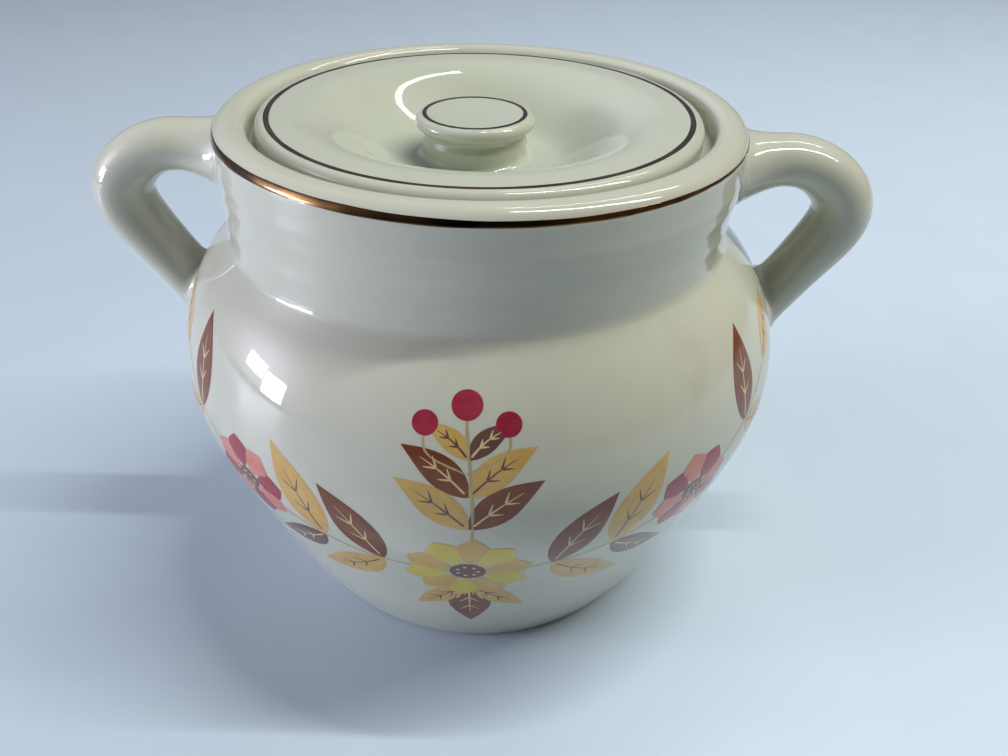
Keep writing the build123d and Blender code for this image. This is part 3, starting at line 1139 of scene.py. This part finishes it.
add_piece("lid_glazed", [lid_skin(), boss_skin()], "lid", lid_glaze, ["lid"], 40)
add_piece("lid_knob_glazed", [knob_skin()], "lid", lid_glaze, ["lid_knob"], 40)
add_piece("rim_gilt_fired", [rim_line_skin()], "pot", gilt, ["rim_gilt_band"], 40)
lid_line = flat_line_skin(lid_line_low, lid_line_high, lid_line_width, brim_height, 1.9)
knob_line = flat_line_skin(knob_line_low, knob_line_high, knob_line_width, knob_top, 4.2)
add_piece("lid_gilt_fired", [lid_line], "lid", gilt, ["lid_gilt_line"], 40)
add_piece("knob_gilt_fired", [knob_line], "lid", gilt, ["knob_gilt_line"], 40)

inks = {
    "stem": print_ink("print_olive", "#A0966A", "#B4AA80"),
    "russet": print_ink("print_russet", "#6A3A22", "#7E4A2C"),
    "mustard": print_ink("print_mustard", "#BE9A50", "#CBAA66"),
    "lemon": print_ink("print_lemon", "#C4AF3E", "#CFBE5C"),
    "rose": print_ink("print_rose", "#C0705E", "#CB8A78"),
    "crimson": print_ink("print_crimson", "#8C2236", "#A03A48"),
    "cream": print_ink("print_cream", "#C8AE78", "#D6C190"),
    "umber": print_ink("print_umber", "#5E423A", "#6E5248"),
}
for colour, skins in garland().items():
    add_piece(f"print_{colour}", skins, "pot", inks[colour], (), 40)


# Floor, light and camera

table_half_side = 6000.0

# Ceiling tubes: name, middle across and aside, length in millimetres, and power in watts
tube_height = 1620.0
tube_width = 30.0
tube_colour = "#FAFCF7"
tubes = (
    ("tube_back_far", 690.0, 910.0, 1300.0, 3.0),
    ("tube_back_near", 690.0, 850.0, 1300.0, 3.0),
    ("tube_over", 1025.0, 20.0, 1750.0, 29.0),
)
# Window panes to the left: name, azimuth and elevation in degrees, width and height in millimetres
over_pot = np.array((0.0, 0.0, 120.0))
window_distance = 1800.0
pane_power = 11.0
pane_colour = "#ECEAFF"
panes = (("pane_back", -97.5, 7.5, 270.0, 220.0), ("pane_front", -107.5, 4.0, 290.0, 330.0))
# Broad glows in the surround: azimuth and elevation in degrees, sharpness, strength and colour
glows = (
    (-98.0, 12.0, 30.0, 6.0, "#ECEAFF"),
    (-90.0, 30.0, 4.0, 0.4, "#F4F1FF"),
    (0.0, 35.0, 4.0, 0.34, "#E6E8FF"),
    (72.0, 55.0, 16.0, 1.3, "#FAFCF7"),
    (90.0, 10.0, 4.0, 0.7, "#C09468"),
)
backdrop_colour = "#BAC4D0"

# Camera: its place, focal length and sensor width in millimetres, and its angles in degrees
camera_place = (10.1, -267.7, 261.8)
focal_length = 28.57
sensor_width = 36.0
camera_pan = 0.16
camera_tilt = 35.65
camera_roll = 1.49


def add_floor():
    """A wide level table top."""
    half = table_half_side * MM
    corners = [(-half, -half, 0), (half, -half, 0), (half, half, 0), (-half, half, 0)]
    mesh = bpy.data.meshes.new("table_top")
    mesh.from_pydata(corners, [], [(0, 1, 2, 3)])
    floor = add_object("table_top", mesh)
    mesh.materials.append(pale_table())


def add_lamp(name, place, target, size, power, colour):
    """A rectangular lamp at place that faces target, sizes in millimetres and power in watts."""
    data = bpy.data.lights.new(name, "AREA")
    data.shape = "RECTANGLE"
    data.size, data.size_y = size[0] * MM, size[1] * MM
    data.energy = power
    data.color = linear(colour)[:3]
    lamp = add_object(name, data)
    lamp.location = Vector(place) * MM
    lamp.rotation_euler = (Vector(target) - Vector(place)).to_track_quat("-Z", "Y").to_euler()


def direction(azimuth, elevation):
    """Unit direction, in degrees: azimuth clockwise from straight behind the pot, elevation from level."""
    turn, climb = radians(azimuth), radians(elevation)
    return np.array((np.sin(turn) * np.cos(climb), np.cos(turn) * np.cos(climb), np.sin(climb)))


def add_world():
    """A dim surround with broad glows: each adds its colour times the cosine to its direction to a power.

    The camera sees a plain pale backdrop in its place.
    """
    world = bpy.data.worlds.new("surround")
    world.use_nodes = True
    bpy.context.scene.world = world
    tree = world.node_tree
    facing = tree.nodes.new("ShaderNodeTexCoord").outputs["Generated"]
    light = linear("#2B2A2D")
    for azimuth, elevation, sharpness, strength, colour in glows:
        towards_glow = {0: facing, 1: direction(azimuth, elevation)}
        cosine = add_node(tree, "ShaderNodeVectorMath", towards_glow, operation="DOT_PRODUCT")
        ahead = {0: cosine.outputs["Value"], 1: 0.0}
        near = add_node(tree, "ShaderNodeMath", ahead, operation="MAXIMUM")
        fall = add_node(tree, "ShaderNodeMath", {0: near.outputs[0], 1: sharpness}, operation="POWER")
        share = add_node(tree, "ShaderNodeMath", {0: fall.outputs[0], 1: strength}, operation="MULTIPLY")
        inputs = {"Factor": share.outputs[0], 6: light, 7: linear(colour)}
        mix = add_node(
            tree, "ShaderNodeMix", inputs, data_type="RGBA", blend_type="ADD", clamp_factor=False,
        )
        light = mix.outputs[2]
    seen = tree.nodes.new("ShaderNodeLightPath").outputs["Is Camera Ray"]
    inputs = {"Factor": seen, 6: light, 7: linear(backdrop_colour)}
    shown = add_node(tree, "ShaderNodeMix", inputs, data_type="RGBA")
    background = tree.nodes["Background"]
    tree.links.new(shown.outputs[2], background.inputs["Color"])
    background.inputs["Strength"].default_value = 1.0


def add_camera():
    """The camera, turned by its pan, its downward tilt and its roll."""
    data = bpy.data.cameras.new("camera")
    data.sensor_width = sensor_width
    data.lens = focal_length
    camera = add_object("camera", data)
    turn = (
        Matrix.Rotation(radians(camera_pan), 4, "Z")
        @ Matrix.Rotation(radians(90 - camera_tilt), 4, "X")
        @ Matrix.Rotation(radians(camera_roll), 4, "Z")
    )
    camera.matrix_world = Matrix.Translation(Vector(camera_place) * MM) @ turn
    bpy.context.scene.camera = camera


add_floor()
add_world()
for name, across, aside, length, power in tubes:
    place = np.array((across, aside, tube_height))
    add_lamp(name, place, place * (1, 1, 0), (length, tube_width), power, tube_colour)
for name, azimuth, elevation, width, height in panes:
    place = over_pot + window_distance * direction(azimuth, elevation)
    add_lamp(name, place, over_pot, (width, height), pane_power, pane_colour)
add_camera()
bpy.context.scene.view_settings.view_transform = "Standard"
